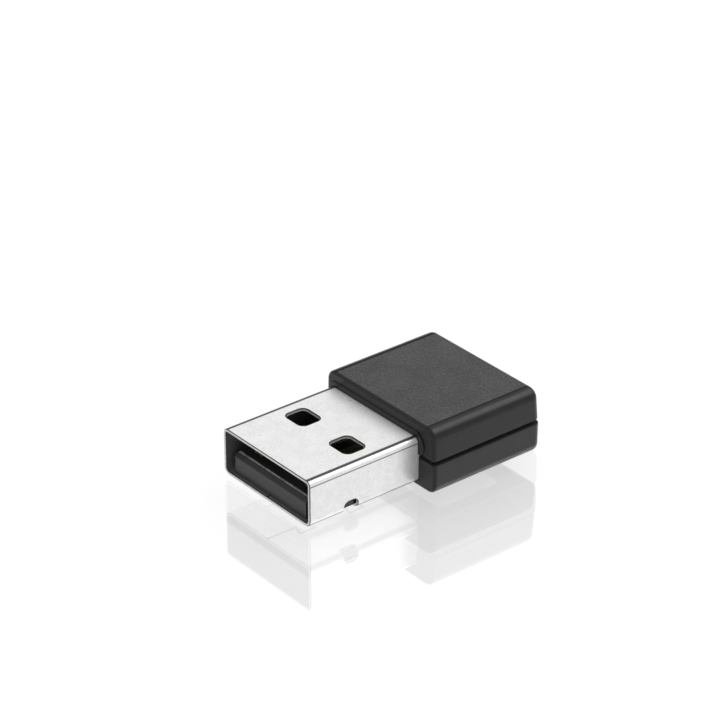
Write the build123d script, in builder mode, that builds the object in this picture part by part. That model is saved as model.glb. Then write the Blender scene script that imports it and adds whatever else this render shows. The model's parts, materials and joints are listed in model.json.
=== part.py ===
from build123d import *
import os

# Miniature USB wifi adapter: a Type-A plug on a short two-part plastic housing.
# Millimetres. +Z is up, the plug points along -Y, and the housing is toward +Y.
# The origin is the centre of the bounding box on the surface that the housing rests on.

os.makedirs("parts", exist_ok=True)

# ---------------------------------------------------------------- plug (USB Type-A)
plug_width = 12.0
plug_height = 4.5
plug_exposed = 11.85          # shell in front of the housing
plug_inside = 2.4             # shell held by the housing
plug_offset = -0.7            # plug centre, left of the housing centre
plug_clearance_below = 0.35   # surface to the underside of the shell
shell_sheet = 0.3
shell_top_radius = 0.5
shell_bottom_radius = 0.65

window_width = 2.65
window_length = 2.25
window_setback = 5.25         # mouth to the near edge of a window
window_spacing = 6.1
window_radius = 0.62

lock_notch_length = 1.5       # notch in each lower corner that the insulator snaps into
lock_notch_setback = 3.7
lock_notch_top = 1.15         # below the middle of the plug
lock_notch_inset = 0.75       # how far the notch wraps onto the underside

seam_gap = 0.05               # joint line of the folded sheet on the underside
dovetail_setbacks = (3.6, 9.0)
dovetail_reach = 1.1
dovetail_neck = 1.0
dovetail_head = 1.7

leg_length = 2.0              # solder legs that straddle the board
leg_height = 1.6

# ---------------------------------------------------------------- insulator and contacts
tongue_width = 9.94
tongue_setback = 0.38
tongue_length = 8.6
tongue_nose = 0.52            # length of the sloped lead-in
tongue_nose_drop = 0.35
contact_width = 1.0
contact_sheet = 0.25
contact_proud = 0.05
contact_tail = 1.4            # part of each contact that lies on the board
contact_dip = 0.22
contact_dip_length = 0.6
power_contact_pitch = 7.0
data_contact_pitch = 2.0
power_contact_setback = 1.3
data_contact_setback = 2.3

# ---------------------------------------------------------------- housing
housing_length = 12.2
housing_height = 6.3
lower_width = 14.94
upper_width = 14.70
seam_low = 2.96               # top edge of the lower case
seam_high = 3.26              # lower edge of the upper case
front_seam = 0.1              # the seam is finer on the front wall
side_draft = 0.08
rear_draft = 0.2
upper_edge_radius = 1.0       # along the top's long edges
lower_edge_radius = 0.9       # along the underside's long edges
front_edge_radius = 0.3
rear_edge_radius = 0.65
moulded_edge_radius = 0.08    # small radius on the edges beside the seam and on the collar
cavity_width = 13.1
end_wall = 0.8
floor_thickness = 0.8
roof_thickness = 0.8
plug_fit = 0.03
lip_height = 0.65
lip_fit = 0.05
rabbet_wall = 0.4
texture_line_width = 0.1      # fine groove that bounds the textured top
texture_line_depth = 0.05
collar_proud = 0.12
collar_rise = 0.57            # above the top of the plug
post_radius = 0.3
standoff_radius = 0.34
post_inset = 0.32

label_width = 10.4
label_length = 7.2
label_radius = 0.8
label_recess = 0.2
label_thickness = 0.12

# ---------------------------------------------------------------- circuit board
board_width = 12.6
board_length = 8.75
board_gap = 0.125             # rear of the shell to the board
board_thickness = 0.8
copper_thickness = 0.035
leg_slot_fit = 0.1
contact_solder_size = 0.22
leg_solder_size = 0.5

# ---------------------------------------------------------------- derived places
mouth_y = -(plug_exposed + housing_length) / 2
front_y = mouth_y + plug_exposed
rear_y = front_y + housing_length
shell_rear_y = front_y + plug_inside
plug_mid_z = plug_clearance_below + plug_height / 2
tongue_top_z = plug_mid_z
shell_floor_z = plug_clearance_below + shell_sheet
contact_top_z = tongue_top_z + contact_proud
board_top_z = contact_top_z - contact_sheet - copper_thickness
board_low_z = board_top_z - board_thickness
pad_top_z = board_top_z + copper_thickness
board_front_y = shell_rear_y + board_gap
board_rear_y = board_front_y + board_length
board_mid_y = (board_front_y + board_rear_y) / 2
cavity_front_y = front_y + end_wall
cavity_rear_y = rear_y - end_wall
cavity_length = cavity_rear_y - cavity_front_y
cavity_mid_y = (cavity_front_y + cavity_rear_y) / 2
housing_mid_y = (front_y + rear_y) / 2
post_x = board_width / 2 - post_inset
post_places = [
    (side * post_x, y)
    for side in (-1, 1)
    for y in (board_front_y + 2.2, board_front_y + 6.4)
]


def cross_plane(y, x=0.0, z=0.0):
    """Upright plane across the plug, facing the mouth: local x is +X and local y is +Z."""
    return Plane(origin=(x, y, z), x_dir=(1, 0, 0), z_dir=(0, -1, 0))


def side_plane(x):
    """Upright plane along the plug, facing +X: local x is +Y and local y is +Z."""
    return Plane(origin=(x, 0, 0), x_dir=(0, 1, 0), z_dir=(1, 0, 0))


def save(piece, name):
    """Label a finished piece and write it as its own file."""
    piece.part.label = name
    export_step(piece.part, f"parts/{name}.step")


# ================================================================ plug shell
dovetail_lines = [(0.0, mouth_y - 0.1)]
for setback in dovetail_setbacks:
    centre = mouth_y + setback
    dovetail_lines += [
        (0.0, centre - dovetail_neck / 2),
        (dovetail_reach, centre - dovetail_head / 2),
        (dovetail_reach, centre + dovetail_head / 2),
        (0.0, centre + dovetail_neck / 2),
    ]
dovetail_lines.append((0.0, shell_rear_y + 0.1))

with BuildPart() as usb_shell:
    # Folded sheet-metal tube with softly rounded corners.
    with BuildSketch(cross_plane(shell_rear_y, plug_offset, plug_mid_z)) as tube:
        Rectangle(plug_width, plug_height)
        fillet(tube.vertices().group_by(Axis.Y)[-1], radius=shell_top_radius)
        fillet(tube.vertices().group_by(Axis.Y)[0], radius=shell_bottom_radius)
        offset(amount=-shell_sheet, mode=Mode.SUBTRACT)
    extrude(amount=plug_exposed + plug_inside)

    # Solder legs carry on from the two side walls.
    with BuildSketch(cross_plane(shell_rear_y, plug_offset, board_low_z + board_thickness / 2)):
        with GridLocations(plug_width - shell_sheet, 0, 2, 1):
            Rectangle(shell_sheet, leg_height)
    extrude(amount=-leg_length)

    # Two latch windows in the top.
    window_mid_y = mouth_y + window_setback + window_length / 2
    with BuildSketch(Plane.XY.offset(plug_mid_z)):
        with Locations((plug_offset, window_mid_y)):
            with GridLocations(window_spacing, 0, 2, 1):
                RectangleRounded(window_width, window_length, window_radius)
    extrude(amount=plug_height, mode=Mode.SUBTRACT)

    # Notches that wrap the lower corners, where the insulator snaps in.
    notch_mid_y = mouth_y + lock_notch_setback + lock_notch_length / 2
    notch_height = plug_height / 2 - lock_notch_top
    with BuildSketch(side_plane(plug_offset)) as notch:
        with Locations((notch_mid_y, plug_clearance_below + notch_height / 2)):
            Rectangle(lock_notch_length, notch_height)
        fillet(notch.vertices().group_by(Axis.Y)[-1], radius=0.5)
    notch_inner = plug_width / 2 - lock_notch_inset
    extrude(amount=plug_width / 2, both=True, mode=Mode.SUBTRACT)

    # The sheet's floor between the two notches, with its joint line.
    with BuildSketch(Plane.XY.offset(plug_clearance_below)):
        with Locations((plug_offset, notch_mid_y)):
            Rectangle(2 * notch_inner, lock_notch_length)
    extrude(amount=shell_sheet)
    with BuildSketch(Plane.XY.offset(plug_clearance_below)):
        with BuildLine(Plane.XY.offset(plug_clearance_below)):
            Polyline([(plug_offset + x, y) for x, y in dovetail_lines])
        trace(line_width=seam_gap)
    extrude(amount=shell_sheet, mode=Mode.SUBTRACT)

save(usb_shell, "usb_shell")

# ================================================================ contacts
# Each contact is a straight strip: its front end dips into the tongue and its tail lies on the board.
contact_places = {
    "contact_ground": (-power_contact_pitch / 2, power_contact_setback),
    "contact_data_plus": (-data_contact_pitch / 2, data_contact_setback),
    "contact_data_minus": (data_contact_pitch / 2, data_contact_setback),
    "contact_vbus": (power_contact_pitch / 2, power_contact_setback),
}


def contact_side_view(setback):
    """Outline of one contact from the side, as (y, z) points around its edge."""
    front = mouth_y + setback
    tail = shell_rear_y + contact_tail
    low = contact_top_z - contact_sheet
    return [
        (tail, low),
        (tail, contact_top_z),
        (front + contact_dip_length, contact_top_z),
        (front, contact_top_z - contact_dip),
        (front, low - contact_dip),
        (front + contact_dip_length, low),
    ]


for contact_name, (contact_x, contact_setback) in contact_places.items():
    with BuildPart() as contact:
        with BuildSketch(side_plane(plug_offset + contact_x)):
            with BuildLine():
                Polyline(contact_side_view(contact_setback), close=True)
            make_face()
        extrude(amount=contact_width / 2, both=True)
    save(contact, contact_name)

# ================================================================ insulator
base_front_y = mouth_y + tongue_setback + tongue_length
shell_inside_width = plug_width - 2 * shell_sheet
shell_inside_height = plug_height - 2 * shell_sheet

with BuildPart() as usb_insulator:
    # Tongue with its sloped nose, seen from the side.
    nose_y = mouth_y + tongue_setback
    with BuildSketch(side_plane(plug_offset)):
        with BuildLine():
            Polyline(
                (nose_y, shell_floor_z),
                (nose_y, tongue_top_z - tongue_nose_drop),
                (nose_y + tongue_nose, tongue_top_z),
                (shell_rear_y, tongue_top_z),
                (shell_rear_y, shell_floor_z),
                close=True,
            )
        make_face()
    extrude(amount=tongue_width / 2, both=True)

    # Base block that fills the shell behind the mating space.
    with BuildSketch(cross_plane(shell_rear_y, plug_offset, plug_mid_z)) as block:
        Rectangle(shell_inside_width, shell_inside_height)
        fillet(block.vertices(), radius=0.4)
    extrude(amount=shell_rear_y - base_front_y)

    # The tongue's front and nose edges are slightly rounded.
    tongue_front = usb_insulator.faces().sort_by(Axis.Y)[0]
    fillet(tongue_front.edges(), radius=0.06)

    # Lugs that show in the shell's corner notches.
    lug_length = lock_notch_length - 0.1
    with BuildSketch(Plane.XY.offset(shell_floor_z)):
        with Locations((plug_offset, notch_mid_y)):
            Rectangle(shell_inside_width - 0.3, lug_length)
    extrude(amount=notch_height - shell_sheet + 0.15)

    # Grooves and passages that hold the contacts.
    for contact_x, contact_setback in contact_places.values():
        with BuildSketch(side_plane(plug_offset + contact_x)):
            with BuildLine():
                Polyline(contact_side_view(contact_setback), close=True)
            make_face()
        extrude(amount=contact_width / 2, both=True, mode=Mode.SUBTRACT)

save(usb_insulator, "usb_insulator")

# ================================================================ spaces kept for the plug
def plug_space(low, high, rounded_row, radius):
    """The space that the plug takes in a case half: rounded_row is 0 to round its foot, -1 its top."""
    with BuildPart() as space:
        with BuildSketch(cross_plane(shell_rear_y + plug_fit, plug_offset, (low + high) / 2)) as outline:
            Rectangle(plug_width + 2 * plug_fit, high - low)
            fillet(outline.vertices().group_by(Axis.Y)[rounded_row], radius=radius + plug_fit)
        extrude(amount=plug_inside + plug_fit + 1.0)
    return space.part


lower_plug_space = plug_space(plug_clearance_below - plug_fit, housing_height, 0, shell_bottom_radius)
upper_plug_space = plug_space(0, plug_clearance_below + plug_height + plug_fit, -1, shell_top_radius)

with BuildPart() as leg_space:
    # Side pockets that clear the shell's solder legs.
    leg_mid_z = board_low_z + board_thickness / 2
    with BuildSketch(cross_plane(shell_rear_y + leg_length + 0.1, plug_offset, leg_mid_z)):
        with GridLocations(plug_width - shell_sheet, 0, 2, 1):
            Rectangle(shell_sheet + 2 * leg_slot_fit, leg_height + 2 * leg_slot_fit)
    extrude(amount=leg_length + 0.2)

# ================================================================ lower case
with BuildPart() as lower_case:
    # Tray with large radii along its lower long edges.
    with BuildSketch(cross_plane(rear_y)) as tray:
        with BuildLine():
            Polyline(
                (-lower_width / 2, seam_low),
                (lower_width / 2, seam_low),
                (lower_width / 2 - side_draft / 2, 0),
                (-lower_width / 2 + side_draft / 2, 0),
                close=True,
            )
        make_face()
        fillet(tray.vertices().group_by(Axis.Y)[0], radius=lower_edge_radius)
    extrude(amount=housing_length)
    for end_index, end_radius in ((0, front_edge_radius), (-1, rear_edge_radius)):
        end_face = lower_case.faces().sort_by(Axis.Y)[end_index]
        rim = end_face.edges().filter_by(lambda e: e.center().Z < seam_low - 0.01)
        fillet(rim, radius=end_radius)

    fillet(lower_case.faces().sort_by(Axis.Z)[-1].edges(), radius=moulded_edge_radius)

    # Higher rim on the front wall, which closes most of the seam there.
    with BuildSketch(Plane.XY.offset(seam_low)):
        with Locations((0, front_y + end_wall / 2)):
            Rectangle(lower_width - 1.0, end_wall - 0.1)
    extrude(amount=seam_high - front_seam - seam_low)

    # Cavity.
    with BuildSketch(Plane.XY.offset(floor_thickness)):
        with Locations((0, cavity_mid_y)):
            Rectangle(cavity_width, cavity_length)
    extrude(amount=seam_low - floor_thickness, mode=Mode.SUBTRACT)

    # Lip that the upper case drops over, on both sides and the rear.
    lip_width = upper_width - 2 * rabbet_wall - 2 * lip_fit
    lip_rear_y = rear_y - rabbet_wall - lip_fit
    with BuildSketch(Plane.XY.offset(seam_low)):
        with Locations((0, (cavity_front_y + lip_rear_y) / 2)):
            Rectangle(lip_width, lip_rear_y - cavity_front_y)
        with Locations((0, cavity_mid_y)):
            Rectangle(cavity_width, cavity_length, mode=Mode.SUBTRACT)
    extrude(amount=seam_high - seam_low + lip_height)

    # Standoffs under the board.
    with BuildSketch(Plane.XY.offset(floor_thickness)):
        with Locations(*post_places):
            Circle(standoff_radius)
    extrude(amount=board_low_z - floor_thickness)

    add(lower_plug_space, mode=Mode.SUBTRACT)
    add(leg_space.part, mode=Mode.SUBTRACT)

    # Shallow recess for the label.
    with BuildSketch(Plane.XY):
        with Locations((0, housing_mid_y)):
            RectangleRounded(label_width, label_length, label_radius)
    extrude(amount=label_recess, mode=Mode.SUBTRACT)

save(lower_case, "lower_case")

# ================================================================ upper case
with BuildPart() as upper_case:
    # Cover with large radii along its upper long edges.
    with BuildSketch(cross_plane(rear_y)) as cover:
        with BuildLine():
            Polyline(
                (-upper_width / 2, seam_high),
                (upper_width / 2, seam_high),
                (upper_width / 2 - side_draft, housing_height),
                (-upper_width / 2 + side_draft, housing_height),
                close=True,
            )
        make_face()
        fillet(cover.vertices().group_by(Axis.Y)[-1], radius=upper_edge_radius)
    extrude(amount=housing_length)

    # The rear wall leans forward a little.
    lean = Vector(0, housing_height - seam_high, rear_draft)
    split(bisect_by=Plane(origin=(0, rear_y, seam_high), z_dir=lean), keep=Keep.BOTTOM)
    for end_index, end_radius in ((0, front_edge_radius), (-1, rear_edge_radius)):
        end_face = upper_case.faces().sort_by(Axis.Y)[end_index]
        rim = end_face.edges().filter_by(lambda e: e.center().Z > seam_high + 0.01)
        fillet(rim, radius=end_radius)

    fillet(upper_case.faces().sort_by(Axis.Z)[0].edges(), radius=moulded_edge_radius)

    # Raised collar around the plug, above the seam.
    collar_low = seam_high - plug_mid_z
    collar_top = plug_height / 2 + collar_rise
    collar_side = plug_width / 2 + 0.25
    with BuildSketch(cross_plane(front_y, plug_offset, plug_mid_z)):
        with BuildLine():
            Line((-collar_side, collar_low), (plug_width / 2 + 0.36, collar_low))
            ThreePointArc(
                (plug_width / 2 + 0.36, collar_low),
                (plug_width / 2 + 0.75, collar_low + 1.05),
                (plug_width / 2 + 0.2, collar_top - 0.25),
            )
            Line((plug_width / 2 + 0.2, collar_top - 0.25), (plug_width / 2 - 0.15, collar_top))
            Line((plug_width / 2 - 0.15, collar_top), (-plug_width / 2 + 0.7, collar_top))
            ThreePointArc(
                (-plug_width / 2 + 0.7, collar_top),
                (-plug_width / 2 + 0.05, collar_top - 0.2),
                (-collar_side, collar_top - 0.85),
            )
            Line((-collar_side, collar_top - 0.85), (-collar_side, collar_low))
        make_face()
    extrude(amount=collar_proud)
    fillet(upper_case.faces().sort_by(Axis.Y)[0].edges(), radius=moulded_edge_radius)

    # Cavity, and the rabbet that takes the lower case's lip.
    with BuildSketch(Plane.XY.offset(seam_high)):
        with Locations((0, cavity_mid_y)):
            Rectangle(cavity_width, cavity_length)
    extrude(amount=housing_height - roof_thickness - seam_high, mode=Mode.SUBTRACT)
    rabbet_rear_y = rear_y - rabbet_wall
    with BuildSketch(Plane.XY.offset(seam_high)):
        with Locations((0, (cavity_front_y + rabbet_rear_y) / 2)):
            Rectangle(upper_width - 2 * rabbet_wall, rabbet_rear_y - cavity_front_y)
    extrude(amount=lip_height + lip_fit, mode=Mode.SUBTRACT)

    # Posts that hold the board down.
    with BuildSketch(Plane.XY.offset(board_top_z)):
        with Locations(*post_places):
            Circle(post_radius)
    extrude(amount=housing_height - roof_thickness - board_top_z)

    add(upper_plug_space, mode=Mode.SUBTRACT)
    add(leg_space.part, mode=Mode.SUBTRACT)

    # Fine grooves where the textured top ends.
    texture_line_x = upper_width / 2 - side_draft - upper_edge_radius
    with BuildSketch(Plane.XY.offset(housing_height - texture_line_depth)):
        with Locations((0, housing_mid_y)):
            with GridLocations(2 * texture_line_x - texture_line_width, 0, 2, 1):
                Rectangle(texture_line_width, housing_length)
    extrude(amount=texture_line_depth, mode=Mode.SUBTRACT)

save(upper_case, "upper_case")

# ================================================================ label
with BuildPart() as rating_label:
    with BuildSketch(Plane.XY.offset(label_recess - label_thickness)):
        with Locations((0, housing_mid_y)):
            RectangleRounded(label_width - 0.2, label_length - 0.2, label_radius - 0.1)
    extrude(amount=label_thickness)

save(rating_label, "rating_label")

# ================================================================ circuit board
with BuildPart() as circuit_board:
    with BuildSketch(Plane.XY.offset(board_low_z)):
        with Locations((0, board_mid_y)):
            RectangleRounded(board_width, board_length, 0.25)
        # Open slots for the solder legs: the left leg stands outside the board's edge.
        with Locations((plug_offset, board_front_y + (leg_length - board_gap) / 2)):
            with GridLocations(plug_width - shell_sheet, 0, 2, 1):
                Rectangle(
                    shell_sheet + 2 * leg_slot_fit,
                    leg_length - board_gap + 2 * leg_slot_fit,
                    mode=Mode.SUBTRACT,
                )
    extrude(amount=board_thickness)

save(circuit_board, "circuit_board")

# Printed copper on the board: contact pads and a meander antenna along the rear edge.
antenna_line = 0.25
antenna_step = 0.5
antenna_depth = 0.7
antenna_turns = 18
antenna_feed = 0.25
antenna_rear_y = board_rear_y - 0.25
antenna_left_x = -antenna_turns * antenna_step / 2
antenna_points = [(antenna_left_x, antenna_rear_y - antenna_depth - antenna_feed)]
for turn in range(antenna_turns):
    turn_x = antenna_left_x + turn * antenna_step
    near, far = antenna_rear_y - antenna_depth, antenna_rear_y
    if turn % 2:
        near, far = far, near
    antenna_points += [(turn_x, near), (turn_x, far)]
antenna_points = [p for i, p in enumerate(antenna_points) if i == 0 or p != antenna_points[i - 1]]

with BuildPart() as antenna_trace:
    with BuildSketch(Plane.XY.offset(board_top_z)):
        with BuildLine(Plane.XY.offset(board_top_z)):
            Polyline(antenna_points)
        trace(line_width=antenna_line)
    extrude(amount=copper_thickness)

save(antenna_trace, "antenna_trace")

with BuildPart() as contact_pads:
    pad_length = contact_tail - board_gap
    with BuildSketch(Plane.XY.offset(board_top_z)):
        for contact_x, _ in contact_places.values():
            with Locations((plug_offset + contact_x, board_front_y + pad_length / 2 + 0.1)):
                Rectangle(contact_width + 2 * contact_solder_size, pad_length)
    extrude(amount=copper_thickness)

save(contact_pads, "contact_pads")

# ================================================================ solder
hollow_share = 0.293   # where a concave quarter round passes nearest its corner


def solder_line(wall_x, side, low_z, size):
    """Outline of a concave solder fillet between a wall at wall_x and the surface at low_z."""
    foot = (wall_x + side * size, low_z)
    middle = (wall_x + side * size * hollow_share, low_z + size * hollow_share)
    head = (wall_x, low_z + size)
    Line((wall_x, low_z), foot)
    ThreePointArc(foot, middle, head)
    Line(head, (wall_x, low_z))


with BuildPart() as contact_solder:
    # A fillet of solder along each side of each contact tail.
    with BuildSketch(cross_plane(shell_rear_y + contact_tail, plug_offset)):
        for contact_x, _ in contact_places.values():
            for side in (-1, 1):
                with BuildLine() as outline:
                    solder_line(contact_x + side * contact_width / 2, side, pad_top_z, contact_solder_size)
                make_face()
    extrude(amount=contact_tail - board_gap - 0.15)

save(contact_solder, "contact_solder")

with BuildPart() as leg_solder:
    # Solder on the board's top beside each leg, on the side that faces the board's middle.
    leg_inner_x = plug_width / 2 - shell_sheet
    with BuildSketch(cross_plane(shell_rear_y + leg_length - 0.1, plug_offset)):
        for side in (-1, 1):
            with BuildLine() as outline:
                solder_line(side * leg_inner_x, -side, board_top_z, leg_solder_size)
            make_face()
    extrude(amount=leg_length - board_gap - 0.2)

save(leg_solder, "leg_solder")

# ================================================================ parts on the board
chip_x, chip_y = 0.6, board_front_y + 4.55
chip_side, chip_height = 5.0, 0.85
chip_lead_count, chip_lead_pitch = 10, 0.4

with BuildPart() as wifi_chip:
    with BuildSketch(Plane.XY.offset(board_top_z + 0.05)):
        with Locations((chip_x, chip_y)):
            Rectangle(chip_side, chip_side)
    extrude(amount=chip_height - 0.05)
    chamfer(wifi_chip.edges().group_by(Axis.Z)[-1], length=0.06)
    # Pin-one dimple.
    with BuildSketch(Plane.XY.offset(board_top_z + chip_height)):
        with Locations((chip_x - chip_side / 2 + 0.7, chip_y - chip_side / 2 + 0.7)):
            Circle(0.25)
    extrude(amount=-0.05, mode=Mode.SUBTRACT)

save(wifi_chip, "wifi_chip")

with BuildPart() as wifi_chip_leads:
    # Ten flat leads on each side, and the thermal pad in the middle.
    with BuildSketch(Plane.XY.offset(board_top_z)):
        with Locations((chip_x, chip_y)):
            with GridLocations(chip_lead_pitch, chip_side - 0.35, chip_lead_count, 2):
                Rectangle(0.2, 0.4)
            with GridLocations(chip_side - 0.35, chip_lead_pitch, 2, chip_lead_count):
                Rectangle(0.4, 0.2)
            Rectangle(3.4, 3.4)
    extrude(amount=0.05)

save(wifi_chip_leads, "wifi_chip_leads")

crystal_x, crystal_y = 4.6, board_front_y + 3.7
with BuildPart() as crystal_base:
    with BuildSketch(Plane.XY.offset(board_top_z)):
        with Locations((crystal_x, crystal_y)):
            RectangleRounded(2.0, 2.5, 0.15)
    extrude(amount=0.35)

save(crystal_base, "crystal_base")

with BuildPart() as crystal_lid:
    with BuildSketch(Plane.XY.offset(board_top_z + 0.35)):
        with Locations((crystal_x, crystal_y)):
            RectangleRounded(1.7, 2.2, 0.2)
    extrude(amount=0.25)
    fillet(crystal_lid.edges().group_by(Axis.Z)[-1], radius=0.08)

save(crystal_lid, "crystal_lid")

regulator_x, regulator_y = -4.05, board_front_y + 3.9
with BuildPart() as regulator_body:
    with BuildSketch(Plane.XY.offset(board_top_z + 0.1)):
        with Locations((regulator_x, regulator_y)):
            Rectangle(1.6, 2.9)
    extrude(amount=1.0, taper=4)

save(regulator_body, "regulator_body")

with BuildPart() as regulator_leads:
    # Gull-wing leads that run into the moulded body, three on the left and two on the right.
    for side, lead_offsets in ((-1, (-0.95, 0, 0.95)), (1, (-0.95, 0.95))):
        body_side = regulator_x + side * 0.7
        for lead_offset in lead_offsets:
            with BuildSketch(cross_plane(regulator_y + lead_offset)):
                with BuildLine():
                    Polyline(
                        (body_side, board_top_z + 0.5),
                        (body_side + side * 0.3, board_top_z + 0.5),
                        (body_side + side * 0.42, board_top_z + 0.12),
                        (body_side + side * 0.7, board_top_z + 0.12),
                        (body_side + side * 0.7, board_top_z),
                        (body_side + side * 0.33, board_top_z),
                        (body_side + side * 0.21, board_top_z + 0.38),
                        (body_side, board_top_z + 0.38),
                        close=True,
                    )
                make_face()
            extrude(amount=0.2, both=True)
    add(regulator_body.part, mode=Mode.SUBTRACT)

save(regulator_leads, "regulator_leads")

inductor_x, inductor_y = -4.2, board_front_y + 6.2
with BuildPart() as inductor_core:
    with BuildSketch(Plane.XY.offset(board_top_z)):
        with Locations((inductor_x, inductor_y)):
            RectangleRounded(1.3, 1.6, 0.1)
    extrude(amount=1.0)

save(inductor_core, "inductor_core")

with BuildPart() as inductor_terminals:
    with BuildSketch(Plane.XY.offset(board_top_z)):
        with Locations((inductor_x, inductor_y)):
            with GridLocations(1.65, 0, 2, 1):
                Rectangle(0.35, 1.6)
    extrude(amount=1.0)

save(inductor_terminals, "inductor_terminals")


def chip_part_pieces(places, length, width, height, body_name, cap_name):
    """Two-terminal chip parts at (x, y, turned) places: one node of bodies, one of end caps."""
    cap = 0.22 * length
    with BuildPart() as bodies:
        for x, y, turned in places:
            with BuildSketch(Plane.XY.offset(board_top_z)):
                with Locations(Location((x, y, 0), (0, 0, 90 if turned else 0))):
                    Rectangle(length - 2 * cap, width)
            extrude(amount=height)
    save(bodies, body_name)
    with BuildPart() as caps:
        for x, y, turned in places:
            with BuildSketch(Plane.XY.offset(board_top_z)):
                with Locations(Location((x, y, 0), (0, 0, 90 if turned else 0))):
                    with GridLocations(length - cap, 0, 2, 1):
                        Rectangle(cap, width)
            extrude(amount=height)
    save(caps, cap_name)


capacitor_places = [
    (-3.0, board_front_y + 0.7, True),
    (1.55, board_front_y + 0.7, True),
    (3.9, board_front_y + 1.1, True),
    (-2.35, board_front_y + 5.3, True),
    (3.7, board_front_y + 5.6, False),
    (5.25, board_front_y + 5.6, False),
]
chip_part_pieces(capacitor_places, 1.0, 0.5, 0.5, "ceramic_capacitors", "capacitor_terminals")

resistor_places = [
    (-0.7, board_front_y + 0.7, True),
    (4.2, board_front_y + 6.4, True),
    (4.9, board_front_y + 6.4, True),
]
chip_part_pieces(resistor_places, 1.0, 0.5, 0.35, "chip_resistors", "resistor_terminals")

matching_places = [
    (-2.4, board_front_y + 6.6, True),
    (3.5, board_front_y + 6.5, True),
]
chip_part_pieces(matching_places, 1.0, 0.5, 0.5, "matching_inductors", "matching_terminals")

# Small memory on the underside of the board.
memory_x, memory_y = 2.6, board_front_y + 4.2
with BuildPart() as memory_chip:
    with BuildSketch(Plane.XY.offset(board_low_z - 0.03)):
        with Locations((memory_x, memory_y)):
            Rectangle(2.0, 3.0)
    extrude(amount=-0.5)

save(memory_chip, "memory_chip")

with BuildPart() as memory_leads:
    with BuildSketch(Plane.XY.offset(board_low_z)):
        with Locations((memory_x, memory_y)):
            with GridLocations(1.6, 0.5, 2, 4):
                Rectangle(0.4, 0.25)
    extrude(amount=-0.03)

save(memory_leads, "memory_leads")
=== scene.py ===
import json
from math import cos, pi, radians, sin, tan

import bmesh
import bpy
from mathutils import Matrix, Vector
from mathutils.geometry import delaunay_2d_cdt


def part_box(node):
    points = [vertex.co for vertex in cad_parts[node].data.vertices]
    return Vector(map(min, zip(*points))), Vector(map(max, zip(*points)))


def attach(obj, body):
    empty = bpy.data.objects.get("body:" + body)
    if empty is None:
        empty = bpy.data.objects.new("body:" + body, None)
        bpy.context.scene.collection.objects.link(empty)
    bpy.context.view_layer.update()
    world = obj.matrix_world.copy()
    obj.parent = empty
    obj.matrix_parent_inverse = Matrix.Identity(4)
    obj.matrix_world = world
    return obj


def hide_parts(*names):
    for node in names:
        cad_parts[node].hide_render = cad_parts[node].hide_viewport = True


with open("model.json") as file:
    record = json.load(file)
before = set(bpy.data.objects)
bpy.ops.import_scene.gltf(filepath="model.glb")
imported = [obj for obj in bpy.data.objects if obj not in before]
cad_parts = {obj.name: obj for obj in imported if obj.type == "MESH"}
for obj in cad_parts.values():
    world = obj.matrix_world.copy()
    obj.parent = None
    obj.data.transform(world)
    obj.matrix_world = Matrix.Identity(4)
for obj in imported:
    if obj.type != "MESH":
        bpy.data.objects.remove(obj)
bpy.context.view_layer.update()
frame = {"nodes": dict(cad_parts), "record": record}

# USB wifi adapter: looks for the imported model. Everything is in metres, in the model's own frame.
MM = 0.001
nodes = frame["nodes"]

# ---------------------------------------------------------------- places read from the frame
shell_low, shell_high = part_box("usb_shell")
insulator_low, insulator_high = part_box("usb_insulator")
upper_low, upper_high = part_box("upper_case")
mouth_y = shell_low.y
shell_rear_y = insulator_high.y
leg_rear_y = shell_high.y
plug_width = shell_high.x - shell_low.x
plug_height = shell_high.z - shell_low.z
plug_middle = Vector(((shell_low.x + shell_high.x) / 2, 0, (shell_low.z + shell_high.z) / 2))


# ================================================================ camera
# The photograph's view, distance and lens, as fitted to its plug and housing.
VIEW_AZIMUTH = radians(51.02)
VIEW_ELEVATION = radians(28.85)
VIEW_DISTANCE = 0.2638
LENS_MM = 151.2
AIM = Vector((-0.00393, 0.00084, 0.00816))   # middle of the picture, above the left of the housing


def make_camera():
    forward = Vector((
        -sin(VIEW_AZIMUTH) * cos(VIEW_ELEVATION),
        cos(VIEW_AZIMUTH) * cos(VIEW_ELEVATION),
        -sin(VIEW_ELEVATION),
    ))
    right = Vector((cos(VIEW_AZIMUTH), sin(VIEW_AZIMUTH), 0))
    up = right.cross(forward)
    data = bpy.data.cameras.new("camera")
    data.lens = LENS_MM
    data.sensor_width = 36
    data.clip_start = 0.01
    data.clip_end = 20
    camera = bpy.data.objects.new("camera", data)
    camera.matrix_world = (
        Matrix.Translation(AIM - forward * VIEW_DISTANCE)
        @ Matrix((right, up, -forward)).transposed().to_4x4()
    )
    bpy.context.scene.collection.objects.link(camera)
    bpy.context.scene.camera = camera


# ================================================================ material helpers
X, Y, Z = 0, 1, 2                                # axes of the object
COLOUR_A, COLOUR_B, COLOUR_RESULT = 6, 7, 2      # a mix node's colour sockets
NUMBER_A, NUMBER_B, NUMBER_RESULT = 2, 3, 0      # and its number sockets


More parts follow.
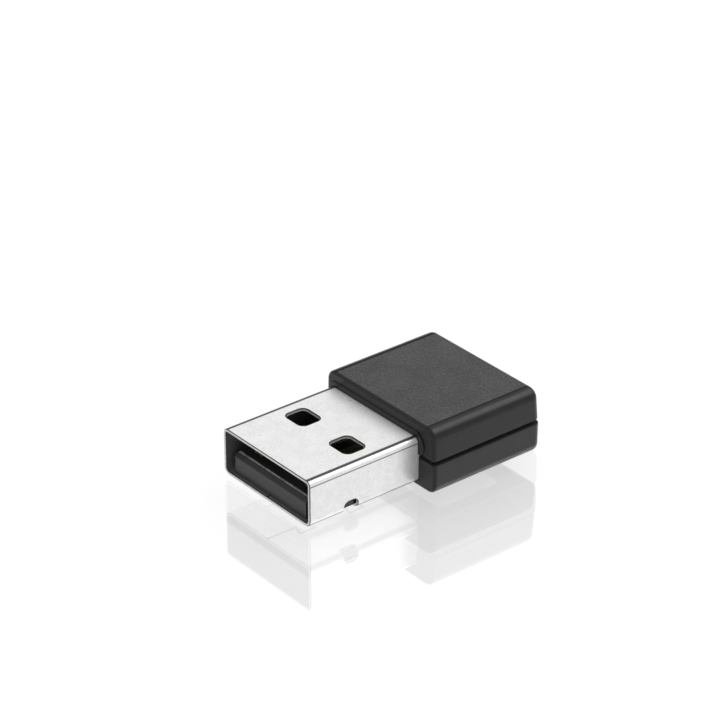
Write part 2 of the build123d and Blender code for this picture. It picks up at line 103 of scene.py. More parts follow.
class Graph:
    """A small builder for a material's node tree."""

    def __init__(self, name, **fixed):
        self.material = bpy.data.materials.new(name)
        self.material.use_nodes = True
        self.tree = self.material.node_tree
        self.tree.nodes.clear()
        self.output = self.node("ShaderNodeOutputMaterial")
        self.shader = self.node("ShaderNodeBsdfPrincipled", **fixed)
        self.link(self.shader.outputs["BSDF"], self.output.inputs["Surface"])
        self.place = self.node("ShaderNodeTexCoord").outputs["Object"]

    def node(self, kind, **values):
        made = self.tree.nodes.new(kind)
        for name, value in values.items():
            socket = name.replace("_", " ")
            if socket in made.inputs:
                made.inputs[socket].default_value = value
            else:
                setattr(made, name, value)
        return made

    def link(self, source, target):
        self.tree.links.new(source, target)

    def feed(self, source, socket):
        self.link(source, self.shader.inputs[socket])

    def stretched(self, x, y, z):
        """Object coordinates scaled along each axis: a factor under 1 draws a texture out."""
        mapping = self.node("ShaderNodeMapping")
        mapping.inputs["Scale"].default_value = (x, y, z)
        self.link(self.place, mapping.inputs["Vector"])
        return mapping.outputs["Vector"]

    def noise(self, size, detail=3.0, roughness=0.55, vector=None):
        """Noise whose features are about size metres across."""
        made = self.node("ShaderNodeTexNoise", Detail=detail, Roughness=roughness)
        made.inputs["Scale"].default_value = 1.0 / size
        self.link(vector or self.place, made.inputs["Vector"])
        return made.outputs["Fac"]

    def spread(self, source, low, high, into_low=0.0, into_high=1.0):
        """source, from low to high, mapped to into_low and into_high."""
        made = self.node("ShaderNodeMapRange")
        made.inputs["From Min"].default_value = low
        made.inputs["From Max"].default_value = high
        made.inputs["To Min"].default_value = into_low
        made.inputs["To Max"].default_value = into_high
        self.link(source, made.inputs["Value"])
        return made.outputs["Result"]

    def math(self, operation, a, b=0):
        """A sum, product or other operation on numbers or sockets. ABSOLUTE takes only one."""
        made = self.node("ShaderNodeMath", operation=operation)
        for socket, value in zip(made.inputs, (a, b)):
            if isinstance(value, (int, float)):
                socket.default_value = value
            else:
                self.link(value, socket)
        return made.outputs["Value"]

    def blend(self, factor, first, second):
        """Mix of two colours or colour sockets."""
        made = self.node("ShaderNodeMix", data_type="RGBA")
        self.link(factor, made.inputs["Factor"])
        for socket, value in ((made.inputs[COLOUR_A], first), (made.inputs[COLOUR_B], second)):
            if isinstance(value, tuple):
                socket.default_value = (*value, 1.0)
            else:
                self.link(value, socket)
        return made.outputs[COLOUR_RESULT]

    def bump(self, height, strength, distance, under=None):
        """Bumped normal, laid over another one if under is given."""
        made = self.node("ShaderNodeBump")
        made.inputs["Strength"].default_value = strength
        made.inputs["Distance"].default_value = distance
        self.link(height, made.inputs["Height"])
        if under is not None:
            self.link(under, made.inputs["Normal"])
        return made.outputs["Normal"]

    def facing(self, axis):
        """How much the surface faces along an axis of the object, from -1 to 1."""
        split = self.node("ShaderNodeSeparateXYZ")
        self.link(self.node("ShaderNodeNewGeometry").outputs["Normal"], split.inputs[0])
        return split.outputs[axis]

    def coordinate(self, axis):
        """The place along an axis of the object."""
        split = self.node("ShaderNodeSeparateXYZ")
        self.link(self.place, split.inputs[0])
        return split.outputs[axis]


def simple(name, dark, light, size, roughness, bump, metallic=0.0, coat=0.0):
    """Material with mottled colour, uneven roughness and a fine bump."""
    graph = Graph(name, Metallic=metallic)
    graph.shader.inputs["Coat Weight"].default_value = coat
    mottle = graph.noise(size)
    graph.feed(graph.blend(graph.spread(mottle, 0.3, 0.7), dark, light), "Base Color")
    graph.feed(graph.spread(mottle, 0.3, 0.7, roughness[0], roughness[1]), "Roughness")
    graph.feed(graph.bump(graph.noise(size / 3), 0.6, bump), "Normal")
    return graph.material


def line_mask(graph, axis, place, width):
    """1 on a fine line where a coordinate is at place, 0 elsewhere."""
    away = graph.math("ABSOLUTE", graph.math("SUBTRACT", graph.coordinate(axis), place))
    return graph.spread(away, width * 0.35, width * 0.65, 1.0, 0.0)


def line_pair(graph, left, right, inset, width):
    """1 on two fine lines along Y, each inset from one side of a piece."""
    return graph.math("MAXIMUM", line_mask(graph, X, left + inset, width),
                      line_mask(graph, X, right - inset, width))


# ================================================================ materials
SEAM_LOW = 2.96 * MM         # the seam's open gap between the two case halves
SEAM_HIGH = 3.26 * MM
GROOVE_INSET = 1.05 * MM     # from the case's sides to the fine grooves beside the grained top
GROOVE_WIDTH = 0.26 * MM
ROOF_LINE_INSET = 0.46 * MM  # painted shade lines on the plug: on its roof, beside the folds,
ROOF_LINE_WIDTH = 0.34 * MM
HIGH_LINE_DROP = 0.52 * MM   # on each side, below the roof,
HIGH_LINE_WIDTH = 0.11 * MM
LOW_LINE_RISE = 0.20 * MM    # and along the lower folds
LOW_LINE_WIDTH = 0.30 * MM
TONGUE_NOSE = 0.52 * MM      # length of the sloped lead-in on the insulator's tongue
TONGUE_HIGHLIGHT_WIDTH = 0.16 * MM


def make_case_material():
    """Black moulded plastic: a spark-eroded grain on the top and base, smoother sides.

    Painted shade darkens the open gap between the two halves and the fine grooves along each side of the
    grained top.
    """
    graph = Graph("case_black", IOR=1.36)
    flat = graph.spread(graph.math("ABSOLUTE", graph.facing(Z)), 0.985, 0.999)
    cloud = graph.noise(3.0 * MM)
    speck = graph.noise(0.19 * MM, detail=2.5)
    tone = graph.math("ADD", graph.math("MULTIPLY", cloud, 0.6), graph.math("MULTIPLY", speck, 0.4))
    plain = graph.blend(graph.spread(tone, 0.35, 0.65), (0.004, 0.004, 0.0045), (0.008, 0.008, 0.0085))
    worn = graph.math("ADD", graph.math("MULTIPLY", cloud, 0.22), graph.math("MULTIPLY", speck, 0.78))
    grained = graph.blend(graph.spread(worn, 0.38, 0.62), (0.020, 0.020, 0.0205), (0.055, 0.055, 0.0565))
    unshaded = graph.blend(flat, plain, grained)
    # Painted shade: a near-black line in each fine groove beside the grained top, on upward-facing
    # surfaces.
    groove_shade = line_pair(graph, upper_low.x, upper_high.x, GROOVE_INSET, GROOVE_WIDTH)
    groove_shade = graph.math("MULTIPLY", groove_shade, graph.spread(graph.facing(Z), 0.6, 0.75, 0.0, 0.9))
    shaded = graph.blend(groove_shade, unshaded, (0.002, 0.002, 0.002))
    # Painted shade: the open seam and a narrow band on each side of it are darkened almost to black.
    seam_shade = line_mask(graph, Z, (SEAM_LOW + SEAM_HIGH) / 2, (SEAM_HIGH - SEAM_LOW) * 1.3)
    graph.feed(graph.blend(seam_shade, shaded, (0.001, 0.001, 0.001)), "Base Color")
    smooth = graph.spread(graph.noise(0.9 * MM), 0.3, 0.7, 0.30, 0.40)
    grain_gloss = graph.spread(speck, 0.3, 0.7, 0.46, 0.62)
    rough = graph.node("ShaderNodeMix", data_type="FLOAT")
    graph.link(flat, rough.inputs["Factor"])
    graph.link(smooth, rough.inputs[NUMBER_A])
    graph.link(grain_gloss, rough.inputs[NUMBER_B])
    dull = graph.math("MAXIMUM", graph.math("MULTIPLY", groove_shade, 0.8), seam_shade)
    graph.feed(graph.math("MAXIMUM", rough.outputs[NUMBER_RESULT], dull), "Roughness")
    pits = graph.node("ShaderNodeTexVoronoi", feature="SMOOTH_F1")
    pits.inputs["Scale"].default_value = 1 / (0.21 * MM)
    graph.link(graph.place, pits.inputs["Vector"])
    grain = graph.math("ADD", graph.math("MULTIPLY", pits.outputs["Distance"], 0.7), speck)
    grain = graph.math("MULTIPLY", grain, flat)
    swell = graph.bump(graph.noise(1.6 * MM), 0.25, 0.02 * MM)
    graph.feed(graph.bump(grain, 1.0, 0.08 * MM, under=swell), "Normal")
    return graph.material


def plate_tone(graph, dark, light):
    """Cloudy nickel with fine specks."""
    cloud = graph.noise(1.1 * MM, detail=4.0)
    speck = graph.noise(0.2 * MM, detail=3.0, roughness=0.7)
    tone = graph.math("ADD", graph.math("MULTIPLY", cloud, 0.35), graph.math("MULTIPLY", speck, 0.65))
    return graph.blend(graph.spread(tone, 0.36, 0.62), dark, light)


def plate_surface(graph, low, high):
    """Uneven polish, with faint rolling lines along the plug."""
    rolled = graph.noise(0.12 * MM, detail=2.0, vector=graph.stretched(1.0, 0.05, 1.0))
    cloud = graph.noise(0.9 * MM, detail=4.0)
    wear = graph.math("ADD", graph.math("MULTIPLY", rolled, 0.5), graph.math("MULTIPLY", cloud, 0.5))
    graph.feed(graph.spread(wear, 0.3, 0.7, low, high), "Roughness")
    lines = graph.bump(rolled, 0.1, 0.0006 * MM)
    graph.feed(graph.bump(graph.noise(0.14 * MM), 0.15, 0.001 * MM, under=lines), "Normal")


def make_plating():
    """Outside of the shell, with painted shade as fine dark lines along its folds and lower edges."""
    graph = Graph("plated_shell", Metallic=0.42)
    tone = plate_tone(graph, (0.62, 0.62, 0.62), (0.74, 0.74, 0.735))
    above_middle = graph.spread(graph.coordinate(Z), plug_middle.z, plug_middle.z + 0.1 * MM)
    # Painted shade: near-black lines on the roof beside the folds, and dark lines on each side below the
    # roof and along the lower folds.
    roof_shade = line_pair(graph, shell_low.x, shell_high.x, ROOF_LINE_INSET, ROOF_LINE_WIDTH)
    roof_shade = graph.math("MULTIPLY", roof_shade, above_middle)
    side_shade = graph.math("MAXIMUM",
                           line_mask(graph, Z, shell_high.z - HIGH_LINE_DROP, HIGH_LINE_WIDTH),
                           line_mask(graph, Z, shell_low.z + LOW_LINE_RISE, LOW_LINE_WIDTH))
    tone = graph.blend(graph.math("MULTIPLY", side_shade, 0.85), tone, (0.04, 0.04, 0.04))
    graph.feed(graph.blend(graph.math("MULTIPLY", roof_shade, 0.96), tone, (0.02, 0.02, 0.02)), "Base Color")
    plate_surface(graph, 0.26, 0.40)
    return graph.material


def make_edge_plating():
    """Cut edges: grey on the cut itself, with painted shade making them dark where the edge is rounded
    over.
    """
    graph = Graph("cut_edge", Metallic=0.3)
    tone = plate_tone(graph, (0.46, 0.46, 0.46), (0.60, 0.60, 0.60))
    # Painted shade: near-black where the cut edge rounds over onto the sheet's faces.
    rounding_shade = graph.node("ShaderNodeAttribute", attribute_name="roll").outputs["Fac"]
    graph.feed(graph.blend(graph.spread(rounding_shade, 0.05, 0.3), tone, (0.015, 0.015, 0.015)), "Base Color")
    plate_surface(graph, 0.22, 0.36)
    return graph.material


def make_inner_plating():
    """Inside of the shell: duller and darker than the outside."""
    graph = Graph("shell_inside", Metallic=0.9)
    graph.feed(plate_tone(graph, (0.27, 0.27, 0.27), (0.36, 0.36, 0.36)), "Base Color")
    plate_surface(graph, 0.35, 0.5)
    return graph.material


def make_insulator_material():
    """Dark glass-filled plastic, with a painted highlight along the tongue's leading edge."""
    graph = Graph("insulator_dark", IOR=1.42)
    flow = graph.noise(0.5 * MM, vector=graph.stretched(1.0, 0.2, 1.0))
    tone = graph.blend(graph.spread(flow, 0.3, 0.7), (0.012, 0.012, 0.0125), (0.020, 0.020, 0.021))
    # Painted highlight: a light line along the top of the tongue's sloped lead-in, on upward-facing
    # surfaces.
    edge = line_mask(graph, Y, insulator_low.y + TONGUE_NOSE, TONGUE_HIGHLIGHT_WIDTH)
    edge = graph.math("MULTIPLY", edge, graph.spread(graph.noise(0.4 * MM), 0.35, 0.6, 0.3, 1.0))
    edge = graph.math("MULTIPLY", edge, graph.spread(graph.facing(Z), 0.2, 0.6))
    graph.feed(graph.blend(edge, tone, (0.30, 0.30, 0.30)), "Base Color")
    graph.feed(graph.spread(flow, 0.3, 0.7, 0.36, 0.48), "Roughness")
    graph.feed(graph.bump(graph.noise(0.12 * MM), 0.4, 0.006 * MM), "Normal")
    return graph.material


def make_contact_material():
    """Gold plating with faint wipe marks along the contact."""
    graph = Graph("contact_gold", Metallic=1.0)
    wiped = graph.noise(0.15 * MM, vector=graph.stretched(1.0, 0.04, 1.0))
    graph.feed(
        graph.blend(graph.spread(wiped, 0.35, 0.7), (0.60, 0.48, 0.27), (0.72, 0.61, 0.40)),
        "Base Color",
    )
    graph.feed(graph.spread(wiped, 0.3, 0.7, 0.18, 0.34), "Roughness")
    graph.feed(graph.bump(wiped, 0.2, 0.004 * MM), "Normal")
    return graph.material


def make_label_material():
    """Blank satin film with a slight orange-peel surface."""
    graph = Graph("label_dark", IOR=1.48)
    cloud = graph.noise(2.0 * MM)
    graph.feed(
        graph.blend(graph.spread(cloud, 0.3, 0.7), (0.15, 0.15, 0.155), (0.18, 0.18, 0.185)),
        "Base Color",
    )
    graph.feed(graph.spread(cloud, 0.3, 0.7, 0.30, 0.42), "Roughness")
    graph.feed(graph.bump(graph.noise(0.35 * MM), 0.3, 0.01 * MM), "Normal")
    return graph.material


def slot_materials():
    """One material for each of the record's slots, and two more for the shell's edges and inside."""
    return {
        "case_black": make_case_material(),
        "label_dark": make_label_material(),
        "plated_shell": make_plating(),
        "cut_edge": make_edge_plating(),
        "shell_inside": make_inner_plating(),
        "insulator_dark": make_insulator_material(),
        "contact_gold": make_contact_material(),
        "board_green": simple("board_green", (0.010, 0.09, 0.035), (0.016, 0.13, 0.05), 0.4 * MM,
                              (0.25, 0.4), 0.006 * MM, coat=0.4),
        "copper_trace": simple("copper_trace", (0.75, 0.48, 0.24), (0.85, 0.62, 0.36), 0.2 * MM,
                               (0.25, 0.4), 0.004 * MM, metallic=1.0),
        "solder_tin": simple("solder_tin", (0.62, 0.62, 0.62), (0.75, 0.75, 0.75), 0.3 * MM,
                             (0.2, 0.35), 0.01 * MM, metallic=1.0),
        "chip_epoxy": simple("chip_epoxy", (0.018, 0.018, 0.019), (0.03, 0.03, 0.031), 0.12 * MM,
                             (0.5, 0.65), 0.01 * MM),
        "lead_tin": simple("lead_tin", (0.60, 0.60, 0.59), (0.74, 0.74, 0.72), 0.15 * MM,
                           (0.25, 0.42), 0.004 * MM, metallic=1.0),
        "capacitor_ceramic": simple("capacitor_ceramic", (0.34, 0.24, 0.14), (0.46, 0.34, 0.21),
                                    0.1 * MM, (0.45, 0.6), 0.004 * MM),
        "resistor_black": simple("resistor_black", (0.02, 0.02, 0.022), (0.035, 0.035, 0.037),
                                 0.1 * MM, (0.25, 0.4), 0.004 * MM),
        "ferrite_grey": simple("ferrite_grey", (0.07, 0.07, 0.073), (0.11, 0.11, 0.115), 0.08 * MM,
                               (0.5, 0.7), 0.01 * MM),
        "crystal_ceramic": simple("crystal_ceramic", (0.38, 0.36, 0.32), (0.5, 0.48, 0.43),
                                  0.1 * MM, (0.5, 0.65), 0.004 * MM),
        "crystal_metal": simple("crystal_metal", (0.70, 0.68, 0.62), (0.82, 0.80, 0.74), 0.2 * MM,
                                (0.2, 0.34), 0.004 * MM, metallic=1.0),
    }


def dress_nodes(materials):
    """Give every CAD node its slot's material."""
    slots = {part["node"]: part["material_slot"] for part in frame["record"]["subparts"]}
    for name, node in nodes.items():
        node.data.materials.clear()
        node.data.materials.append(materials[slots[name]])


# ================================================================ plug shell
SHEET = 0.3 * MM
TOP_BEND = 0.5 * MM          # outer radii of the folds
LOWER_BEND = 0.65 * MM
BEND_STEPS = 10
EDGE_SLOT, INSIDE_SLOT = 1, 2        # the shell's material slots, after its outside's
RIM = 0.07 * MM              # rounding of the cut edges
WINDOW_ROLL = 0.11 * MM      # punching rolls the outer edge of the windows over
RIM_STEPS = 4
KEEP_ENCLOSED = 1            # the triangulation keeps what its outermost edges enclose
SAME_POINT = 1e-9            # corners closer than this count as one
ON_CUT = 1e-8                # and points this close to a cut count as on it
SEAM_GAP = 0.05 * MM
CORNER = 0.1 * MM            # small corner radius of the blank's outline
DOVETAIL_SETBACKS = (3.6 * MM, 9.0 * MM)
DOVETAIL_REACH = 1.1 * MM
DOVETAIL_NECK = 1.0 * MM
DOVETAIL_HEAD = 1.7 * MM
WINDOW_SIZE = (2.65 * MM, 2.25 * MM)
WINDOW_RADIUS = 0.62 * MM
WINDOW_SETBACK = 5.25 * MM
WINDOW_SPACING = 6.1 * MM
NOTCH_LENGTH = 1.5 * MM
NOTCH_SETBACK = 3.7 * MM
NOTCH_TOP = 1.15 * MM        # below the middle of the plug
NOTCH_INSET = 0.75 * MM      # in from the side, on the underside
NOTCH_RADIUS = 0.5 * MM
LEG_HEIGHT = 1.6 * MM


class Fold:
    """The path of the sheet's middle surface round the plug, from the joint line underneath."""

    def __init__(self):
        self.half_width = (plug_width - SHEET) / 2
        self.half_height = (plug_height - SHEET) / 2
        lower, top = LOWER_BEND - SHEET / 2, TOP_BEND - SHEET / 2
        half_floor = self.half_width - lower
        side = 2 * self.half_height - lower - top
        roof = 2 * (self.half_width - top)
        # Runs of (length, radius of the bend or 0 for a flat), starting toward +X.
        self.runs = [
            (half_floor, 0), (lower * pi / 2, lower), (side, 0), (top * pi / 2, top), (roof, 0),
            (top * pi / 2, top), (side, 0), (lower * pi / 2, lower), (half_floor, 0),
        ]
        self.length = sum(length for length, _ in self.runs)

    def at(self, s):
        """Place (x, z) of the middle surface at s, with its tangent and its outward normal."""
        place, angle = Vector((0, -self.half_height)), 0.0
        left = min(max(s, 0.0), self.length)
        extra = s - left
        for length, radius in self.runs:
            step = min(left, length)
            if radius:
                turn = step / radius
                centre = place + radius * Vector((-sin(angle), cos(angle)))
                angle += turn
                place = centre - radius * Vector((-sin(angle), cos(angle)))
            else:
                place = place + step * Vector((cos(angle), sin(angle)))
            left -= step
            if left <= 0:
                break
        tangent = Vector((cos(angle), sin(angle)))
        return place + extra * tangent, tangent, Vector((tangent.y, -tangent.x))

    def bends(self):
        """Each bend's start and end."""
        start = 0.0
        for length, radius in self.runs:
            if radius:
                yield start, start + length
            start += length

    def on_side(self, z):
        """s of a height on the right wall, measured from the middle of the plug."""
        return self.runs[0][0] + self.runs[1][0] + z + self.half_height - self.runs[1][1]


fold = Fold()


def rounded_loop(corners, steps=5):
    """A closed outline from (s, y, radius) corners, each rounded by an arc."""
    points = []
    for i, (s, y, radius) in enumerate(corners):
        here = Vector((s, y))
        back = (Vector(corners[i - 1][:2]) - here).normalized()
        ahead = (Vector(corners[(i + 1) % len(corners)][:2]) - here).normalized()
        half = back.angle(ahead) / 2
        centre = here + (back + ahead).normalized() * (radius / sin(half))
        first = (here + back * (radius / tan(half)) - centre).normalized()
        last = (here + ahead * (radius / tan(half)) - centre).normalized()
        points += [centre + radius * first.slerp(last, k / steps) for k in range(steps + 1)]
    return points


def offset_line(points, amount):
    """A polyline moved sideways by amount, with mitred corners: positive moves it toward +s."""
    moved = []
    for i, point in enumerate(points):
        before = (points[i] - points[i - 1]).normalized() if i else None
        after = (points[i + 1] - points[i]).normalized() if i < len(points) - 1 else None
        first, second = before or after, after or before
        normals = [Vector((d.y, -d.x)) for d in (first, second)]
        middle = (normals[0] + normals[1]).normalized()
        moved.append(point + middle * (amount / middle.dot(normals[0])))
    return moved


def seam_line():
    """The joint line underneath: straight, with two dovetails, from the mouth to the rear."""
    points = [Vector((0, mouth_y))]
    for setback in DOVETAIL_SETBACKS:
        centre = mouth_y + setback
        points += [
            Vector((0, centre - DOVETAIL_NECK / 2)),
            Vector((DOVETAIL_REACH, centre - DOVETAIL_HEAD / 2)),
            Vector((DOVETAIL_REACH, centre + DOVETAIL_HEAD / 2)),
            Vector((0, centre + DOVETAIL_NECK / 2)),
        ]
    return points + [Vector((0, shell_rear_y))]


def blank_outline(leg_middle_z):
    """Outer edge of the flat blank: two joint edges, the mouth and the rear with its two legs."""
    right = offset_line(seam_line(), SEAM_GAP / 2)
    left = [p + Vector((fold.length, 0)) for p in offset_line(seam_line(), -SEAM_GAP / 2)]
    low = fold.on_side(leg_middle_z - LEG_HEIGHT / 2)
    high = fold.on_side(leg_middle_z + LEG_HEIGHT / 2)
    rear = []
    for start, end in ((fold.length - low, fold.length - high), (high, low)):
        rear += [(start, shell_rear_y), (start, leg_rear_y), (end, leg_rear_y), (end, shell_rear_y)]
    corners = [tuple(p) for p in left] + rear + [tuple(p) for p in reversed(right)]
    return rounded_loop([(s, y, CORNER) for s, y in corners], steps=3)


def window_outline(s):
    half_width, half_length = WINDOW_SIZE[0] / 2, WINDOW_SIZE[1] / 2
    y = mouth_y + WINDOW_SETBACK + half_length
    signs = ((-1, -1), (-1, 1), (1, 1), (1, -1))
    return rounded_loop(
        [(s + i * half_width, y + j * half_length, WINDOW_RADIUS) for i, j in signs], steps=10
    )


def notch_outline(mirrored):
    """Hole that wraps a lower corner, from the side wall onto the underside."""
    floor_s = plug_width / 2 - NOTCH_INSET
    wall_s = fold.on_side(-NOTCH_TOP)
    near, far = mouth_y + NOTCH_SETBACK, mouth_y + NOTCH_SETBACK + NOTCH_LENGTH
    corners = [
        (floor_s, near, CORNER), (floor_s, far, CORNER),
        (wall_s, far, NOTCH_RADIUS), (wall_s, near, NOTCH_RADIUS),
    ]
    if mirrored:
        corners = [(fold.length - s, y, radius) for s, y, radius in reversed(corners)]
    return rounded_loop(corners)


def signed_area(loop):
    return sum(a.x * b.y - b.x * a.y for a, b in zip(loop, loop[1:] + loop[:1])) / 2


def outward_normals(loop):
    """For each point of a loop with its material on the left: the way out, and its mitre."""
    found = []
    for i, point in enumerate(loop):
        before = (point - loop[i - 1]).normalized()
        after = (loop[(i + 1) % len(loop)] - point).normalized()
        side = Vector((before.y, -before.x))
        middle = (side + Vector((after.y, -after.x))).normalized()
        found.append((middle, 1 / middle.dot(side)))
    return found


def add_rim(sheet, flat_normal, loop, roll):
    """Rounded edge through the sheet along a loop. Returns its outermost and innermost rings."""
    outward = outward_normals(loop)
    rings = []
    for side, radius in ((1, roll), (-1, RIM)):
        for k in range(RIM_STEPS + 1):
            angle = pi / 2 * (RIM_STEPS - k if side > 0 else k) / RIM_STEPS
            inset = radius * (1 - cos(angle))
            height = side * (SHEET / 2 - radius * (1 - sin(angle)))
            ring = []
            for point, (normal, mitre) in zip(loop, outward):
                place = point - normal * inset * mitre
                vert = sheet.verts.new((*place, height))
                vert[flat_normal] = (normal.x * cos(angle), normal.y * cos(angle), side * sin(angle))
                ring.append(vert)
            rings.append(ring)
    for upper, lower in zip(rings, rings[1:]):
        for i in range(len(loop)):
            j = (i + 1) % len(loop)
            sheet.faces.new((upper[i], lower[i], lower[j], upper[j])).material_index = EDGE_SLOT
    return rings[0], rings[-1]


def fill_between(sheet, rings):
    """Flat faces inside the first ring and outside the others, which are convex holes."""
    verts, edges, owner = [], [], []
    for number, ring in enumerate(rings):
        start = len(verts)
        verts += ring
        owner += [number] * len(ring)
        edges += [(start + i, start + (i + 1) % len(ring)) for i in range(len(ring))]
    found = delaunay_2d_cdt([vert.co.xy for vert in verts], edges, [], KEEP_ENCLOSED, SAME_POINT)
    for triangle in found[2]:
        corners = [found[3][i][0] for i in triangle]
        touched = {owner[i] for i in corners}
        if len(touched) > 1 or touched == {0}:
            sheet.faces.new([verts[i] for i in corners])


def make_shell(materials):
    """The plug's shell as one folded sheet with rounded cut edges."""
    board_low, board_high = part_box("circuit_board")
    leg_middle = (board_low.z + board_high.z) / 2 - plug_middle.z
    roof = fold.length / 2
    outlines = [(blank_outline(leg_middle), RIM)]
    outlines += [(window_outline(roof + side * WINDOW_SPACING / 2), WINDOW_ROLL) for side in (-1, 1)]
    outlines += [(notch_outline(mirrored), RIM) for mirrored in (False, True)]

    sheet = bmesh.new()
    flat_normal = sheet.verts.layers.float_vector.new("flat_normal")
    outer, inner = [], []
    for index, (loop, roll) in enumerate(outlines):
        # The material is on the left of the blank's outline and on the right of a hole's.
        counterclockwise = signed_area(loop) > 0
        ends = add_rim(sheet, flat_normal, loop if counterclockwise == (index == 0) else loop[::-1], roll)
        outer.append(ends[0])
        inner.append(ends[1])
    fill_between(sheet, outer)
    fill_between(sheet, inner)

    for start, end in fold.bends():
        for k in range(BEND_STEPS + 1):
            s = start + (end - start) * k / BEND_STEPS
            whole = sheet.verts[:] + sheet.edges[:] + sheet.faces[:]
            bmesh.ops.bisect_plane(sheet, geom=whole, dist=ON_CUT, plane_co=(s, 0, 0), plane_no=(1, 0, 0))
    for face in sheet.faces:
        if all(vert.co.z < 0 and abs(vert[flat_normal].z) > 0.999 for vert in face.verts):
            face.material_index = INSIDE_SLOT
    roll = sheet.verts.layers.float.new("roll")
    normals = []
    for vert in sheet.verts:
        s, y, height = vert.co
        lean = vert[flat_normal]
        vert[roll] = abs(lean.z)
        place, tangent, out = fold.at(s)
        place += out * height
        vert.co = (plug_middle.x + place.x, y, plug_middle.z + place.y)
        turned = tangent * lean.x + out * lean.z
        normals.append(Vector((turned.x, lean.y, turned.y)).normalized())
    bmesh.ops.recalc_face_normals(sheet, faces=sheet.faces)
    if sheet.calc_volume(signed=True) < 0:
        bmesh.ops.reverse_faces(sheet, faces=sheet.faces)
    for face in sheet.faces:
        face.smooth = True
    mesh = bpy.data.meshes.new("plug_shell")
    sheet.to_mesh(mesh)
    sheet.free()
    mesh.normals_split_custom_set_from_vertices(normals)
    shell = bpy.data.objects.new("plug_shell", mesh)
    bpy.context.scene.collection.objects.link(shell)
    for slot in ("plated_shell", "cut_edge", "shell_inside"):
        mesh.materials.append(materials[slot])
    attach(shell, "root")
    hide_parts("usb_shell")


# ================================================================ floor and light
FLOOR_SIZE = 3.0
SECOND_LAYER_DEPTH = 1.62 * MM       # from the clear sheet down to the white base
TOP_MIRROR = 0.15                    # how much of the light each layer reflects
BASE_MIRROR = 0.42
BASE_PAINT = 0.15
BASE_GLOW = 1.19                     # the base is lit from within, so that it stays white
HORIZON = 0.8                        # how bright the studio is at the horizon
SKY_START, SKY_FULL = 0.05, 0.35     # and how high it reaches full brightness
SOFTBOX_DIRECTION = Vector((0.28, 0.55, 0.79))
SOFTBOX_RIM = radians(28)
SOFTBOX_MIDDLE = radians(16)
SOFTBOX_TONE = 4.2
PANEL_HEIGHT = 0.8
PANEL_SIZE = 1.0
PANEL_WATTS = 3.0


def stage_plane(name, z, material):
    """A large square sheet at height z that isn't part of the object."""
    mesh = bpy.data.meshes.new(name)
    grid = bmesh.new()
    bmesh.ops.create_grid(grid, x_segments=8, y_segments=8, size=FLOOR_SIZE / 2)
    bmesh.ops.translate(grid, verts=grid.verts, vec=(0, 0, z))
    grid.to_mesh(mesh)
    grid.free()
    plane = bpy.data.objects.new(name, mesh)
    bpy.context.scene.collection.objects.link(plane)
    plane.data.materials.append(material)


def mixed(graph, factor, first, second):
    """The graph's surface becomes a mix of two shaders."""
    mix = graph.node("ShaderNodeMixShader")
    mix.inputs[0].default_value = factor
    graph.link(first, mix.inputs[1])
    graph.link(second, mix.inputs[2])
    graph.link(mix.outputs[0], graph.output.inputs["Surface"])


def make_floor():
    """A clear glossy sheet over a glossy white base: two reflections, one below the other."""
    sheet = Graph("floor_sheet")
    clear = sheet.node("ShaderNodeBsdfTransparent").outputs[0]
    mirror = sheet.node("ShaderNodeBsdfGlossy", Roughness=0.0).outputs[0]
    mixed(sheet, TOP_MIRROR, clear, mirror)
    stage_plane("floor_sheet", 0.0, sheet.material)

    base = Graph("floor_base")
    paint = base.node("ShaderNodeBsdfDiffuse")
    paint.inputs["Color"].default_value = (BASE_PAINT, BASE_PAINT, BASE_PAINT, 1)
    light = base.node("ShaderNodeEmission", Strength=BASE_GLOW)
    white = base.node("ShaderNodeAddShader")
    base.link(paint.outputs[0], white.inputs[0])
    base.link(light.outputs[0], white.inputs[1])
    gloss = base.node("ShaderNodeBsdfGlossy", Roughness=0.0)
    mixed(base, BASE_MIRROR, white.outputs[0], gloss.outputs[0])
    stage_plane("floor_base", -SECOND_LAYER_DEPTH, base.material)


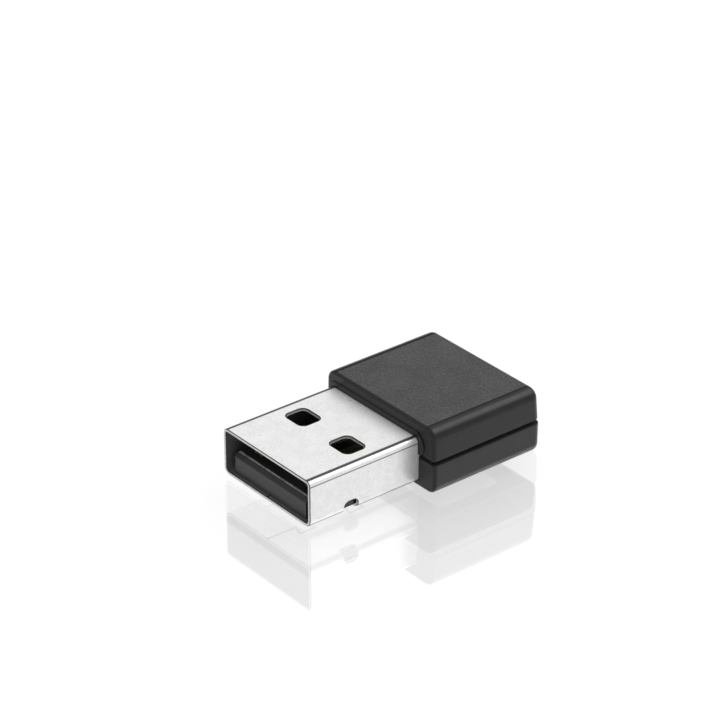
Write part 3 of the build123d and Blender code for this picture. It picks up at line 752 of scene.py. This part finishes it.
def make_world():
    """White studio, a little dimmer toward the horizon, with one softbox behind the object."""
    world = bpy.data.worlds.new("studio")
    world.use_nodes = True
    bpy.context.scene.world = world
    tree = world.node_tree
    tree.nodes.clear()

    def ramp(source, low, high, into_low, into_high):
        made = tree.nodes.new("ShaderNodeMapRange")
        made.interpolation_type = "SMOOTHSTEP"
        made.inputs["From Min"].default_value = low
        made.inputs["From Max"].default_value = high
        made.inputs["To Min"].default_value = into_low
        made.inputs["To Max"].default_value = into_high
        tree.links.new(source, made.inputs["Value"])
        return made.outputs["Result"]

    direction = tree.nodes.new("ShaderNodeTexCoord").outputs["Generated"]
    split = tree.nodes.new("ShaderNodeSeparateXYZ")
    tree.links.new(direction, split.inputs[0])
    sky = ramp(split.outputs[Z], SKY_START, SKY_FULL, HORIZON, 1.0)
    toward = tree.nodes.new("ShaderNodeVectorMath")
    toward.operation = "DOT_PRODUCT"
    toward.inputs[1].default_value = SOFTBOX_DIRECTION.normalized()
    tree.links.new(direction, toward.inputs[0])
    softbox = ramp(toward.outputs["Value"], cos(SOFTBOX_RIM), cos(SOFTBOX_MIDDLE), 0.0, SOFTBOX_TONE)
    total = tree.nodes.new("ShaderNodeMath")
    tree.links.new(sky, total.inputs[0])
    tree.links.new(softbox, total.inputs[1])
    background = tree.nodes.new("ShaderNodeBackground")
    tree.links.new(total.outputs[0], background.inputs["Strength"])
    output = tree.nodes.new("ShaderNodeOutputWorld")
    tree.links.new(background.outputs[0], output.inputs["Surface"])


def make_lights():
    """A broad overhead panel, which reflections don't show."""
    data = bpy.data.lights.new("overhead", "AREA")
    data.shape = "SQUARE"
    data.size = PANEL_SIZE
    data.energy = PANEL_WATTS
    panel = bpy.data.objects.new("overhead", data)
    panel.location = (0, 0, PANEL_HEIGHT)
    panel.visible_glossy = False
    bpy.context.scene.collection.objects.link(panel)


# ================================================================ scene
bpy.context.scene.view_settings.view_transform = "Standard"
make_camera()
materials = slot_materials()
dress_nodes(materials)
make_shell(materials)
make_floor()
make_world()
make_lights()
